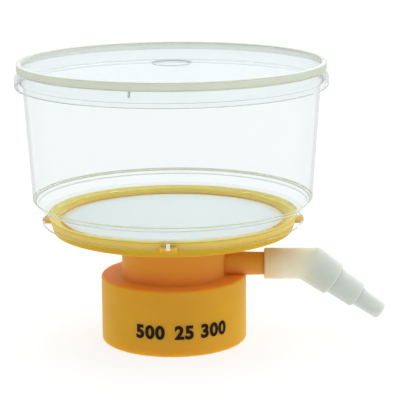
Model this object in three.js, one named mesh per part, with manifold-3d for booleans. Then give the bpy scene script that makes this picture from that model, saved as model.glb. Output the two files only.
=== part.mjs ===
// Bottle-top vacuum filter: a clear lidded funnel of about half a litre over a 90 mm membrane. The
// amber plate under the membrane is welded on the neck of an amber base, which screws on a 45 mm
// bottle neck and has a side port for the vacuum hose with its stepped adapter.
// Millimetres, +Z up. The collar's bottom rim stands on z = 0 and the port points along +X.

import * as THREE from 'three';
import { mergeVertices } from 'three/addons/utils/BufferGeometryUtils.js';
import Module from 'manifold-3d';

const wasm = await Module();
wasm.setup();

// ---- driving dimensions -------------------------------------------------------------------------

const ROUND = 64; // sides of the large turned forms
const GROOVE_ROUND = 48; // sides of the drain grooves
const SMALL_ROUND = 32; // sides of port and hose steps
const BORE_ROUND = 24; // sides of their bores

const FIT_GAP = 0.3; // clearance between two separate pieces
const STACK_GAP = 0.2; // clearance between pieces clamped on each other

const collar = {
  threadRadius: 22.5, // a 45 mm bottle thread
  threadGap: 0.9,
  wall: 4.35,
  height: 25.2,
  shoulder: 2.6, // thickness of the top disc
  edge: 0.7, // rounding of its outer edges
};

const neck = { outerRadius: 19.8, wall: 2.2, length: 17.8, foot: 0.8 };

const plate = {
  membraneRadius: 45, // a standard 90 mm disc
  web: 1.9, // thickness of the support
  skirtDepth: 1.6, // how far the rim hangs below the support
  rimWall: 1.4,
  rimHeight: 1.9, // how far the rim stands above the support
  draft: 1.4, // how much wider the rim is at its top than at its bottom
};

// Round lands that carry the membrane, with grooves between them that drain along the channels.
const grooves = { count: 6, pitch: 6.2, outerLand: 1.6, width: 2.2, depth: 0.7 };

const channels = { count: 8, width: 2.0, outerDepth: 0.8, innerDepth: 1.1 };

const ribs = { count: 12, width: 1.4, gap: 0.5 };

const spigot = { wall: 1.2, depth: 1.5 }; // locating ring inside the neck

const drain = { boreRadius: 2.8, wall: 1.6, length: 25.9, mouth: 1.4, slant: 3.0 };

const tab = { width: 6.0, height: 1.9, drop: 1.3, inset: 0.2, count: 4 };

const port = {
  rise: 3.7, // axis above the collar's top
  rootRadius: 4.75,
  tipRadius: 4.05,
  boreRadius: 2.6,
  length: 26.2, // free length from the neck
  edge: 0.4,
};

const membraneThickness = 0.3;

const gasket = { boreRadius: 15.8, thickness: 2.0 };

const funnel = {
  wall: 1.8,
  clampWidth: 2.6, // covered edge of the membrane
  footEdge: 0.4, // height of the blunt inner edge on the membrane
  coneHeight: 6.0, // rise of the sloping floor
  ledge: 8.1, // foot of the chamber wall, above the membrane
  ledgeWidth: 1.3,
  taper: 2.8, // how much wider the chamber is under the bead than at its foot
  height: 57.4, // from the clamped edge of the membrane to the rim
  skirtGap: 0.8, // between the skirt and the plate's rim
  skirtWall: 2.2,
  skirtDraft: 1.9,
  skirtDrop: 0.6, // how far the skirt hangs below the membrane
  beadReach: 1.1, // how far the bead stands out from the wall
  beadDepth: 5.0, // bead's lower edge, below the rim
  beadHeight: 1.5,
  edge: 0.6, // rounding of the chamber's foot
};

const notch = { sideGap: 0.3, flare: 0.8, height: 0.95 };

const gate = { width: 1.4, proud: 0.5, height: 2.7 };

const lid = {
  plate: 1.5,
  rimHeight: 0.8, // stacking rim above the plate
  rimWidth: 1.8,
  bandHeight: 2.6,
  bandInset: 0.85, // band's edge, inwards from the skirt's
  pinch: 0.5, // groove under the band
  flare: 2.4, // height of the slope under the groove
  skirtWall: 1.2,
  beadGap: 0.65, // loose fit over the funnel's bead
  height: 8.9,
  recessRadius: 7.5,
  recessDepth: 0.6,
  edge: 0.4,
};

const vent = { width: 1.0, proud: 0.35, height: 3.4, lift: 0.8, count: 3, angle: -102.7 };

const adapter = {
  overlap: 11.4, // length of the port inside the adapter
  barrel: 17.5, // from the mouth to the corner of the elbow
  wall: 1.3, // at the mouth
  bend: 35, // degrees
  boreRadius: 2.2,
  socketEnd: 0.6, // free space past the port's tip
  edge: 0.7, // rounding of each free edge
  firstStep: { length: 11.2, taper: 0.7 },
  smallSteps: [
    { length: 11.1, rootRadius: 5.4, tipRadius: 5.05 },
    { length: 11.3, rootRadius: 3.8, tipRadius: 3.3 },
  ],
};

// ---- heights and radii that follow from them ----------------------------------------------------

const collarBore = collar.threadRadius + collar.threadGap;
const collarRadius = collarBore + collar.wall;
const shoulderUnder = collar.height - collar.shoulder;
const plateBottom = collar.height + neck.length;
const underside = plateBottom + plate.skirtDepth; // of the membrane support
const support = underside + plate.web; // top of the membrane support
const rimInner = plate.membraneRadius + FIT_GAP;
const rimOuter = rimInner + plate.rimWall;
const rimFoot = rimOuter - plate.draft;
const rimTop = support + plate.rimHeight;
const spoutTip = underside - drain.length;

const membraneTop = support + STACK_GAP + membraneThickness;
const footBottom = membraneTop + STACK_GAP; // funnel's clamping foot
const openRadius = plate.membraneRadius - funnel.clampWidth; // edge of the filtering area
const grooveOuter = openRadius - grooves.outerLand; // outer edge of the outermost groove
const coneFoot = footBottom + funnel.footEdge;
const coneTop = coneFoot + funnel.coneHeight;
const ledgeHeight = footBottom + funnel.ledge;
const funnelTop = footBottom + funnel.height;
const skirtFoot = [rimOuter + funnel.skirtGap + funnel.skirtWall, footBottom - funnel.skirtDrop];
const skirtHead = [skirtFoot[0] + funnel.skirtDraft, ledgeHeight];
const wallFoot = [skirtHead[0] + funnel.ledgeWidth, ledgeHeight];
const wallHead = [wallFoot[0] + funnel.taper, funnelTop - funnel.beadDepth];
const beadRadius = wallHead[0] + funnel.beadReach;
const tabReach = skirtFoot[0] - tab.inset;

const lidUnder = funnelTop + FIT_GAP; // underside of the lid's plate
const lidTop = lidUnder + lid.plate + lid.rimHeight;
const lidBottom = lidTop - lid.height;
const lidRadius = beadRadius + lid.beadGap + lid.skirtWall;
const bandRadius = lidRadius - lid.bandInset;

const portAxis = collar.height + port.rise;
const portRoot = neck.outerRadius - 0.6 * neck.wall; // inside the neck's wall
const portTip = neck.outerRadius + port.length;
const portDirection = new THREE.Vector3(1, 0, 0);
const mouth = portTip - adapter.overlap;
const bendAt = mouth + adapter.barrel;
const bend = THREE.MathUtils.degToRad(adapter.bend);
const corner = new THREE.Vector3(bendAt, 0, portAxis);
const armDirection = new THREE.Vector3(Math.cos(bend), 0, -Math.sin(bend));

// ---- solids -------------------------------------------------------------------------------------

// Closed mesh to solid: only positions are kept, shared corners are merged, and slivers on an axis
// of rotation are dropped.
function solid(geometry) {
  geometry.deleteAttribute('normal');
  geometry.deleteAttribute('uv');
  const merged = mergeVertices(geometry, 1e-4);
  const index = merged.index.array;
  const triangles = [];
  for (let i = 0; i < index.length; i += 3) {
    const [a, b, c] = [index[i], index[i + 1], index[i + 2]];
    if (a !== b && b !== c && c !== a) triangles.push(a, b, c);
  }
  const mesh = new wasm.Mesh({
    numProp: 3,
    vertProperties: new Float32Array(merged.attributes.position.array),
    triVerts: new Uint32Array(triangles),
  });
  return new wasm.Manifold(mesh);
}

// Turned solid about Z from an outline of [radius, height] pairs that runs anticlockwise. An outline
// that starts on the axis also ends on it; any other closes on itself.
function turned(outline, sides = ROUND) {
  const points = outline.map(([radius, height]) => new THREE.Vector2(radius, height));
  if (outline[0][0] > 0) points.push(points[0].clone());
  const geometry = new THREE.LatheGeometry(points, sides);
  geometry.rotateX(Math.PI / 2);
  return solid(geometry);
}

// Quarter-round corner: points from one tangent to the other about a centre, angles in degrees.
function arc(radius, height, size, from, to, steps = 2) {
  const points = [];
  for (let i = 0; i <= steps; i += 1) {
    const angle = THREE.MathUtils.degToRad(from + ((to - from) * i) / steps);
    points.push([radius + size * Math.cos(angle), height + size * Math.sin(angle)]);
  }
  return points;
}

// Straight bar with a flat outline in the X-Z plane, of a given width in Y, turned about Z.
function bar(outline, width, degrees) {
  const shape = new THREE.Shape(outline.map(([x, z]) => new THREE.Vector2(x, z)));
  const geometry = new THREE.ExtrudeGeometry(shape, { depth: width, bevelEnabled: false });
  geometry.translate(0, 0, -width / 2);
  geometry.rotateX(Math.PI / 2);
  geometry.rotateZ(THREE.MathUtils.degToRad(degrees));
  return solid(geometry);
}

function rectangle(x0, z0, x1, z1) {
  return [[x0, z0], [x1, z0], [x1, z1], [x0, z1]];
}

// Radial position on a straight slope between two [radius, height] points.
function radiusAt(height, [r0, z0], [r1, z1]) {
  return r0 + ((r1 - r0) * (height - z0)) / (z1 - z0);
}

// A turned solid whose own axis is laid along a direction from a point.
function laid(outline, sides, from, direction) {
  const points = outline.map(([radius, height]) => new THREE.Vector2(radius, height));
  if (outline[0][0] > 0) points.push(points[0].clone());
  const geometry = new THREE.LatheGeometry(points, sides);
  const turn = new THREE.Quaternion().setFromUnitVectors(new THREE.Vector3(0, 1, 0), direction);
  geometry.applyQuaternion(turn);
  geometry.translate(from.x, from.y, from.z);
  return solid(geometry);
}

function joined(solids) {
  return solids.reduce((whole, piece) => whole.add(piece));
}

// Copies of a feature, evenly spaced about the axis. `make` takes the angle in degrees.
function aroundAxis(count, make, first = 0) {
  return Array.from({ length: count }, (_, i) => make(first + (360 * i) / count));
}

// ---- base ---------------------------------------------------------------------------------------

function baseOutline() {
  const neckInner = neck.outerRadius - neck.wall;
  const neckTop = underside - STACK_GAP;
  const { edge, height } = collar;
  return [
    [neckInner, neckTop],
    [neckInner, shoulderUnder],
    [collarBore, shoulderUnder],
    [collarBore, edge],
    [collarBore + edge, 0],
    ...arc(collarRadius - edge, edge, edge, -90, 0),
    ...arc(collarRadius - edge, height - edge, edge, 0, 90),
    ...arc(neck.outerRadius + neck.foot, height + neck.foot, neck.foot, -90, -180),
    [neck.outerRadius, neckTop],
  ];
}

// Radius of the tapered port at a distance from the collar's axis.
function portRadius(along) {
  return radiusAt(along, [port.rootRadius, portRoot], [port.tipRadius, portTip]);
}

function portTube() {
  const length = portTip - portRoot;
  const { rootRadius, tipRadius, edge } = port;
  const start = new THREE.Vector3(portRoot, 0, portAxis);
  const outline = [
    [0, 0],
    [rootRadius, 0],
    [tipRadius, length - edge],
    [tipRadius - edge, length],
    [0, length],
  ];
  return laid(outline, SMALL_ROUND, start, portDirection);
}

function portBore() {
  const inside = neck.outerRadius - 2 * neck.wall;
  const length = portTip - inside + 1;
  const start = new THREE.Vector3(inside, 0, portAxis);
  const outline = [[0, 0], [port.boreRadius, 0], [port.boreRadius, length], [0, length]];
  return laid(outline, BORE_ROUND, start, portDirection);
}

function makeBase() {
  return turned(baseOutline()).add(portTube()).subtract(portBore());
}

// ---- membrane support ---------------------------------------------------------------------------

function supportOutline() {
  const spoutRadius = drain.boreRadius + drain.wall;
  const spigotOuter = neck.outerRadius - neck.wall - FIT_GAP;
  const spigotFoot = underside - spigot.depth;
  return [
    [drain.boreRadius, spoutTip],
    [spoutRadius, spoutTip],
    [spoutRadius, underside],
    [spigotOuter - spigot.wall, underside],
    [spigotOuter - spigot.wall, spigotFoot],
    [spigotOuter, spigotFoot],
    [spigotOuter, underside],
    [rimFoot - plate.rimWall, underside],
    [rimFoot - plate.rimWall, plateBottom],
    [rimFoot, plateBottom],
    [rimOuter, rimTop - 0.5 * plate.rimHeight],
    [rimOuter, rimTop],
    [rimInner, rimTop],
    [rimInner, support],
    [drain.boreRadius + drain.mouth, support],
    [drain.boreRadius, support - drain.mouth],
  ];
}

function locatingTab(degrees) {
  const bottom = skirtFoot[1] - tab.drop;
  const inner = rimInner + 0.2 * plate.rimWall;
  return bar(rectangle(inner, bottom, tabReach, bottom + tab.height), tab.width, degrees);
}

// Rib under the plate, from just outside the neck to the rim.
function plateRib(degrees) {
  const overlap = 0.3;
  const inner = neck.outerRadius + ribs.gap;
  const outer = rimFoot - plate.rimWall + overlap;
  return bar(rectangle(inner, plateBottom, outer, underside + overlap), ribs.width, degrees);
}

function drainGroove(radius) {
  const { width, depth } = grooves;
  const outline = rectangle(radius - width / 2, support - depth, radius + width / 2, support + 1);
  return turned(outline, GROOVE_ROUND);
}

// Channel across the lands, deeper towards the drain.
function drainChannel(degrees) {
  const outline = [
    [drain.boreRadius, support - channels.innerDepth],
    [grooveOuter, support - channels.outerDepth],
    [grooveOuter, support + 1],
    [drain.boreRadius, support + 1],
  ];
  return bar(outline, channels.width, degrees);
}

// The spout's tip is cut on a slant, so that the last drop hangs from its point.
function spoutSlant() {
  const reach = drain.boreRadius + drain.wall + 1;
  const low = spoutTip - 1;
  const outline = [[-reach, low], [reach, low], [reach, spoutTip], [-reach, spoutTip + drain.slant]];
  return bar(outline, 2 * reach, 0);
}

function makeSupport() {
  const tabs = aroundAxis(tab.count, locatingTab);
  const stiffeners = aroundAxis(ribs.count, plateRib);
  const rings = Array.from({ length: grooves.count }, (_, i) => {
    return drainGroove(grooveOuter - grooves.width / 2 - i * grooves.pitch);
  });
  return joined([turned(supportOutline()), ...tabs, ...stiffeners])
    .subtract(joined(rings))
    .subtract(joined(aroundAxis(channels.count, drainChannel)))
    .subtract(spoutSlant());
}

// ---- membrane and gasket ------------------------------------------------------------------------

function makeMembrane() {
  const bottom = support + STACK_GAP;
  const radius = plate.membraneRadius;
  return turned([[0, bottom], [radius, bottom], [radius, membraneTop], [0, membraneTop]]);
}

function makeGasket() {
  const top = shoulderUnder - STACK_GAP;
  const bottom = top - gasket.thickness;
  return turned(rectangle(gasket.boreRadius, bottom, collarBore - FIT_GAP, top));
}

// ---- funnel -------------------------------------------------------------------------------------

function funnelOutline() {
  const f = funnel;
  const beadTop = wallHead[1] + f.beadHeight;
  const roof = rimTop + STACK_GAP; // over the base's rim
  const lip = 0.3; // chamfer of the rim's edges
  const outer = (height) => radiusAt(height, wallFoot, wallHead);
  const inner = (height) => outer(height) - f.wall;
  const skirtInner = (height) => radiusAt(height, skirtFoot, skirtHead) - f.skirtWall;
  return [
    [openRadius, footBottom],
    [plate.membraneRadius, footBottom],
    [plate.membraneRadius, roof],
    [skirtInner(roof), roof],
    [skirtInner(skirtFoot[1]), skirtFoot[1]],
    skirtFoot,
    [skirtHead[0], ledgeHeight - lip],
    ...arc(wallFoot[0] - f.edge, ledgeHeight + f.edge, f.edge, -90, 0),
    wallHead,
    [beadRadius, wallHead[1] + lip],
    [beadRadius, beadTop],
    [outer(beadTop), beadTop + 2 * lip],
    [outer(funnelTop) - lip, funnelTop],
    [inner(funnelTop) + lip, funnelTop],
    [inner(funnelTop), funnelTop - lip],
    [inner(ledgeHeight), ledgeHeight],
    [inner(coneTop), coneTop],
    [openRadius, coneFoot],
  ];
}

// Trapezoid notch in the skirt, over a locating tab of the base.
function skirtNotch(degrees) {
  const [, bottom] = skirtFoot;
  const low = bottom - 1;
  const top = bottom + notch.height;
  const half = tab.width / 2 + notch.sideGap;
  const wide = half + notch.flare * (1 + 1 / notch.height);
  const shape = new THREE.Shape([
    new THREE.Vector2(-wide, low),
    new THREE.Vector2(wide, low),
    new THREE.Vector2(half, top),
    new THREE.Vector2(-half, top),
  ]);
  const inner = rimOuter - 1;
  const depth = wallFoot[0] - inner;
  const geometry = new THREE.ExtrudeGeometry(shape, { depth, bevelEnabled: false });
  geometry.rotateX(Math.PI / 2);
  geometry.rotateZ(Math.PI / 2);
  geometry.translate(inner, 0, 0);
  geometry.rotateZ(THREE.MathUtils.degToRad(degrees));
  return solid(geometry);
}

// Stub where the moulding was broken off its runner. It hangs in one notch, outside the base's tab.
function gateStub(degrees) {
  const [, bottom] = skirtFoot;
  const top = bottom + gate.height;
  const inner = tabReach + FIT_GAP;
  const outline = [
    [inner, bottom],
    [skirtFoot[0] + gate.proud, bottom],
    [radiusAt(top, skirtFoot, skirtHead) + gate.proud, top],
    [inner, top],
  ];
  return bar(outline, gate.width, degrees);
}

function makeFunnel() {
  const notches = joined(aroundAxis(tab.count, skirtNotch));
  return turned(funnelOutline()).subtract(notches).add(gateStub(-90));
}

// ---- lid ----------------------------------------------------------------------------------------

function lidOutline() {
  const l = lid;
  const plateTop = lidUnder + l.plate;
  const grooveHeight = lidTop - l.bandHeight - l.pinch;
  const flareFoot = grooveHeight - l.flare;
  const hollow = radiusAt(funnelTop, wallFoot, wallHead) + FIT_GAP; // over the funnel's rim
  const skirtInner = lidRadius - l.skirtWall;
  const rimInnerRadius = bandRadius - l.rimWidth;
  return [
    [0, lidUnder],
    [hollow, lidUnder],
    [hollow, grooveHeight],
    [skirtInner, flareFoot],
    [skirtInner, lidBottom],
    [lidRadius - l.edge, lidBottom],
    [lidRadius, lidBottom + l.edge],
    [lidRadius, flareFoot],
    [bandRadius - l.pinch, grooveHeight],
    [bandRadius, lidTop - l.bandHeight],
    ...arc(bandRadius - l.edge, lidTop - l.edge, l.edge, 0, 90),
    [rimInnerRadius + l.edge, lidTop],
    [rimInnerRadius, plateTop],
    [l.recessRadius, plateTop],
    [l.recessRadius - 0.5 * l.recessDepth, plateTop - l.recessDepth],
    [0, plateTop - l.recessDepth],
  ];
}

// Upright rib inside the skirt that keeps an air gap between lid and bead.
function ventRib(degrees) {
  const inner = lidRadius - lid.skirtWall - vent.proud;
  const outer = lidRadius - 0.5 * lid.skirtWall;
  const bottom = lidBottom + vent.lift;
  return bar(rectangle(inner, bottom, outer, bottom + vent.height), vent.width, degrees);
}

function makeLid() {
  return joined([turned(lidOutline()), ...aroundAxis(vent.count, ventRib, vent.angle)]);
}

// ---- hose adapter -------------------------------------------------------------------------------

const barrelRadius = portRadius(mouth) + FIT_GAP + adapter.wall;

// Barrel along X from its mouth to the slanted joint with the arm. Its end face is sheared into the
// plane of the arm's root, and reaches a little into it.
function adapterBarrel() {
  const { edge, barrel } = adapter;
  const overlap = 0.3;
  const outline = [
    [0, 0],
    ...arc(barrelRadius - edge, edge, edge, -90, 0),
    [barrelRadius, barrel],
    [0, barrel],
  ];
  const points = outline.map(([radius, height]) => new THREE.Vector2(radius, height));
  const geometry = new THREE.LatheGeometry(points, SMALL_ROUND);
  geometry.rotateZ(-Math.PI / 2);
  const position = geometry.attributes.position;
  for (let i = 0; i < position.count; i += 1) {
    const atEnd = position.getX(i) > barrel - 0.01;
    if (atEnd) position.setX(i, barrel + overlap + position.getZ(i) * Math.tan(bend));
  }
  geometry.translate(mouth, 0, portAxis);
  return solid(geometry);
}

// Arm with a run of hose steps, each a slight cone with a rounded end.
function adapterArm() {
  const { firstStep, smallSteps, edge } = adapter;
  const rootRadius = barrelRadius / Math.cos(bend) + 0.1;
  const steps = [
    { length: firstStep.length, rootRadius, tipRadius: rootRadius - firstStep.taper },
    ...smallSteps,
  ];
  const outline = [[0, 0]];
  let along = 0;
  for (const step of steps) {
    outline.push([step.rootRadius, along]);
    along += step.length;
    outline.push(...arc(step.tipRadius - edge, along - edge, edge, 0, 90));
  }
  outline.push([0, along]);
  return laid(outline, SMALL_ROUND, corner, armDirection);
}

function adapterBore() {
  const { boreRadius, barrel, overlap, socketEnd, firstStep, smallSteps } = adapter;
  const depth = overlap + socketEnd;
  const mouthPoint = new THREE.Vector3(mouth, 0, portAxis);
  const socketOutline = [
    [0, -1],
    [portRadius(mouth - 1) + FIT_GAP, -1],
    [port.tipRadius + FIT_GAP, depth],
    [boreRadius, depth + 1],
    [0, depth + 1],
  ];
  const socket = laid(socketOutline, SMALL_ROUND, mouthPoint, portDirection);
  const level = [[0, depth - 1], [boreRadius, depth - 1], [boreRadius, barrel], [0, barrel]];
  const passage = laid(level, BORE_ROUND, mouthPoint, portDirection);
  const reach = smallSteps.reduce((sum, step) => sum + step.length, firstStep.length) + 1;
  const sloped = [[0, 0], [boreRadius, 0], [boreRadius, reach], [0, reach]];
  const outlet = laid(sloped, BORE_ROUND, corner, armDirection);
  const elbow = new THREE.SphereGeometry(boreRadius, BORE_ROUND, BORE_ROUND / 2);
  elbow.translate(corner.x, corner.y, corner.z);
  return joined([socket, passage, outlet, solid(elbow)]);
}

function makeAdapter() {
  return adapterBarrel().add(adapterArm()).subtract(adapterBore());
}

// ---- assembly -----------------------------------------------------------------------------------

const clear = { roughness: 0.05, metalness: 0, transparent: true };
const finishes = {
  clearPlastic: new THREE.MeshStandardMaterial({ color: 0xeef6f4, opacity: 0.3, ...clear }),
  clearLid: new THREE.MeshStandardMaterial({ color: 0xe9f1ea, opacity: 0.3, ...clear }),
  amberPlastic: new THREE.MeshStandardMaterial({ color: 0xe6a326, roughness: 0.4, metalness: 0 }),
  membrane: new THREE.MeshStandardMaterial({ color: 0xf4f6f4, roughness: 0.9, metalness: 0 }),
  milkyPlastic: new THREE.MeshStandardMaterial({ color: 0xdadfd8, roughness: 0.5, metalness: 0 }),
  seal: new THREE.MeshStandardMaterial({ color: 0xe8e8e4, roughness: 0.7, metalness: 0 }),
};

function piece(name, body, material) {
  const mesh = body.getMesh();
  const geometry = new THREE.BufferGeometry();
  geometry.setAttribute('position', new THREE.BufferAttribute(mesh.vertProperties, 3));
  geometry.setIndex(new THREE.BufferAttribute(mesh.triVerts, 1));
  geometry.computeVertexNormals();
  const part = new THREE.Mesh(geometry, material);
  part.name = name;
  return part;
}

const unit = new THREE.Group();
unit.add(
  piece('lid', makeLid(), finishes.clearLid),
  piece('funnel', makeFunnel(), finishes.clearPlastic),
  piece('membrane', makeMembrane(), finishes.membrane),
  piece('support', makeSupport(), finishes.amberPlastic),
  piece('base', makeBase(), finishes.amberPlastic),
  piece('bottle_gasket', makeGasket(), finishes.seal),
  piece('hose_adapter', makeAdapter(), finishes.milkyPlastic),
);

// The origin is at the middle of the whole unit's footprint, on the surface that it stands on.
const box = new THREE.Box3().setFromObject(unit);
unit.position.x = -(box.min.x + box.max.x) / 2;
unit.updateMatrixWorld(true);

const vacuumFilter = new THREE.Group();
vacuumFilter.add(unit);

export default vacuumFilter;
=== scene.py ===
"""Bottle-top vacuum filter: clear lidded funnel, membrane, amber base and milky hose adapter.

An outline is a list of (radius, height) points about the funnel's axis, in millimetres. A third
number rounds that corner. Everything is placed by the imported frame.
"""
import math

import bmesh
import bpy
import numpy as np
from mathutils import Matrix, Vector


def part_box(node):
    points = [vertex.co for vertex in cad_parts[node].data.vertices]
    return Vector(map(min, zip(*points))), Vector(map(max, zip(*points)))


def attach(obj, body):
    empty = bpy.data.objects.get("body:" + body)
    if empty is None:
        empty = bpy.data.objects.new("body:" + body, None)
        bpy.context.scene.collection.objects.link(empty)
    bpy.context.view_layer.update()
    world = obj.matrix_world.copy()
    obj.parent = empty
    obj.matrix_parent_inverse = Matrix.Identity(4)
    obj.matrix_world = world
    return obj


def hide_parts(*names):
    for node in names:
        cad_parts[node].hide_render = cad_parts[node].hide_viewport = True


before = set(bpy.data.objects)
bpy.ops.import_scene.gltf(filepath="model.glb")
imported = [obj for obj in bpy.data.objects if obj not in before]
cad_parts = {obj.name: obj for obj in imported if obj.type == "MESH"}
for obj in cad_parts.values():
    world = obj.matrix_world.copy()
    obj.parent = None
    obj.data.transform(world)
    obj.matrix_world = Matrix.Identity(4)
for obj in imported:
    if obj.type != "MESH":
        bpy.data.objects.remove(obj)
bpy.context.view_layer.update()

MM = 0.001
TAU = 2 * math.pi
SIDES = 384  # around the large turned forms
GROOVE_SIDES = 128
TUBE_SIDES = 96  # around the port and the hose adapter

lid_low, lid_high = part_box("lid")
AXIS_X = (lid_low.x + lid_high.x) / 2 / MM  # the funnel's axis, in millimetres
FRONT = -90.0  # direction of the front about that axis, in degrees

# ---- sizes, as in the CAD model (mm) ------------------------------------------------------------

FIT, STACK = 0.3, 0.2  # gaps between loose pieces, and between pieces clamped on each other

BORE_R, COLLAR_R, COLLAR_H, SHOULDER = 23.4, 27.75, 25.2, 2.6
BORE_LEAD = 0.7  # slope at the mouth of the collar's bore
NECK_R, NECK_WALL, NECK_LEN = 19.8, 2.2, 17.8
GASKET_R, GASKET_T = 15.8, 2.0
MEMBRANE_R, MEMBRANE_T = 45.0, 0.3
CLAMP = 2.6  # covered edge of the membrane

WEB, SKIRT_DEPTH = 1.9, 1.6  # the support's thickness, and how far its rim hangs below it
RIM_WALL, RIM_H, DRAFT = 1.4, 1.9, 1.4
DRAIN_R, DRAIN_WALL, DRAIN_LEN, DRAIN_MOUTH, DRAIN_SLANT = 2.8, 1.6, 25.9, 1.4, 3.0
SPIGOT_WALL, SPIGOT_DEPTH = 1.2, 1.5  # locating ring inside the neck
GROOVES, GROOVE_PITCH, GROOVE_W, GROOVE_DEPTH, OUTER_LAND = 6, 6.2, 2.2, 0.7, 1.6
CHANNELS, CHANNEL_W, CHANNEL_OUTER, CHANNEL_INNER = 8, 2.0, 0.8, 1.1
RIBS, RIB_W, RIB_GAP = 12, 1.4, 0.5
TABS, TAB_W, TAB_H, TAB_DROP, TAB_INSET = 4, 6.0, 1.9, 1.3, 0.2

WALL, TAPER, FUNNEL_H = 1.8, 2.8, 57.4
LEDGE, LEDGE_W = 8.1, 1.3  # foot of the chamber's wall, and how far it overhangs the skirt
CONE_RISE = 6.4  # top of the sloping floor
SKIRT_GAP, SKIRT_WALL, SKIRT_DRAFT, SKIRT_DROP = 0.8, 2.2, 1.9, 0.6
BEAD_REACH, BEAD_DEPTH, BEAD_H = 1.1, 5.0, 1.5
NOTCH_GAP, NOTCH_FLARE, NOTCH_H = 0.3, 0.8, 0.95  # in the skirt, over each tab
GATE_W, GATE_PROUD, GATE_H = 1.4, 0.5, 2.7

LID_PLATE, LID_RIM_H, LID_RIM_W, LID_H = 1.5, 0.8, 1.8, 8.9
LID_WALL, BEAD_GAP = 1.2, 0.65
BAND_H, BAND_INSET, PINCH, FLARE = 2.6, 0.85, 0.5, 2.4
RECESS_R, RECESS_DEPTH = 7.5, 0.6
VENTS, VENT_W, VENT_PROUD, VENT_H, VENT_LIFT, VENT_ANGLE = 3, 1.0, 0.35, 3.4, 0.8, -102.7

PORT_RISE, PORT_LEN = 3.7, 26.2
PORT_ROOT_R, PORT_TIP_R, PORT_BORE = 4.75, 4.05, 2.6
OVERLAP, BARREL, ADAPTER_WALL, ADAPTER_BORE = 11.4, 17.5, 1.3, 2.2
SOCKET_END = 0.6  # free space past the port's tip
BEND = math.radians(35)
STEP_ENDS = (11.2, 22.3, 33.6)  # of the hose steps along the adapter's arm, from its bend
FIRST_TAPER = 0.6  # how much the first step's radius falls to its end
SECOND_STEP, THIRD_STEP = (5.4, 5.05), (3.8, 3.3)  # radii at both ends

# ---- sizes of the visual model only (mm) --------------------------------------------------------

SINK = 0.3  # how far a form reaches into the one it is joined to
CUT = 1.0  # how far a cutter reaches past the surface
TAB_ROOT = 0.28  # the tabs start this far outside the rim's inner face
BLUNT = 0.7  # height of the funnel foot's blunt inner edge
FOOT_LIP = 0.35  # width of its flat ring on the membrane
CORE_WALL, CORE_H = 1.4, 2.0  # the funnel's foot is cored inside the skirt
RING_FLARE, RING_RISE = 0.6, 1.0  # cone round the clamp ring
LEDGE_ROUND = 0.4
EDGE_DROP = 0.5  # painted shade line below the ledge
FIN_W, FIN_PROUD = 0.8, 0.4  # thin fin on the lid's flare

# ---- heights and radii that follow from them ----------------------------------------------------


def radius_at(height, low, high):
    """Radius on a straight slope between two (radius, height) points."""
    return low[0] + (high[0] - low[0]) * (height - low[1]) / (high[1] - low[1])


SHOULDER_UNDER = COLLAR_H - SHOULDER
PLATE_BOTTOM = COLLAR_H + NECK_LEN
UNDERSIDE = PLATE_BOTTOM + SKIRT_DEPTH
SUPPORT = UNDERSIDE + WEB
RIM_IN = MEMBRANE_R + FIT
RIM_OUT = RIM_IN + RIM_WALL
RIM_FOOT = RIM_OUT - DRAFT
RIM_TOP = SUPPORT + RIM_H
ROOF = RIM_TOP + STACK  # underside of the funnel's clamp ring
SPOUT_TIP = UNDERSIDE - DRAIN_LEN

MEMBRANE_TOP = SUPPORT + STACK + MEMBRANE_T
FOOT = MEMBRANE_TOP + STACK
OPEN_R = MEMBRANE_R - CLAMP
CONE_TOP = FOOT + CONE_RISE
LEDGE_Z = FOOT + LEDGE
FUNNEL_TOP = FOOT + FUNNEL_H
SKIRT_FOOT = (RIM_OUT + SKIRT_GAP + SKIRT_WALL, FOOT - SKIRT_DROP)
SKIRT_HEAD = (SKIRT_FOOT[0] + SKIRT_DRAFT, LEDGE_Z)
WALL_FOOT = (SKIRT_HEAD[0] + LEDGE_W, LEDGE_Z)
WALL_HEAD = (WALL_FOOT[0] + TAPER, FUNNEL_TOP - BEAD_DEPTH)
BEAD_R = WALL_HEAD[0] + BEAD_REACH
TAB_REACH = SKIRT_FOOT[0] - TAB_INSET

LID_UNDER = FUNNEL_TOP + FIT
PLATE_TOP = LID_UNDER + LID_PLATE
LID_TOP = PLATE_TOP + LID_RIM_H
LID_BOTTOM = LID_TOP - LID_H
LID_R = BEAD_R + BEAD_GAP + LID_WALL
LID_IN = LID_R - LID_WALL
BAND_R = LID_R - BAND_INSET
PINCH_Z = LID_TOP - BAND_H - PINCH
FLARE_Z = PINCH_Z - FLARE
HOLLOW_R = radius_at(FUNNEL_TOP, WALL_FOOT, WALL_HEAD) + FIT

PORT_Z = COLLAR_H + PORT_RISE
PORT_ROOT = NECK_R - 0.6 * NECK_WALL  # inside the neck's wall
PORT_TIP = NECK_R + PORT_LEN
MOUTH = PORT_TIP - OVERLAP


# ---- mesh helpers -------------------------------------------------------------------------------


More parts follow.
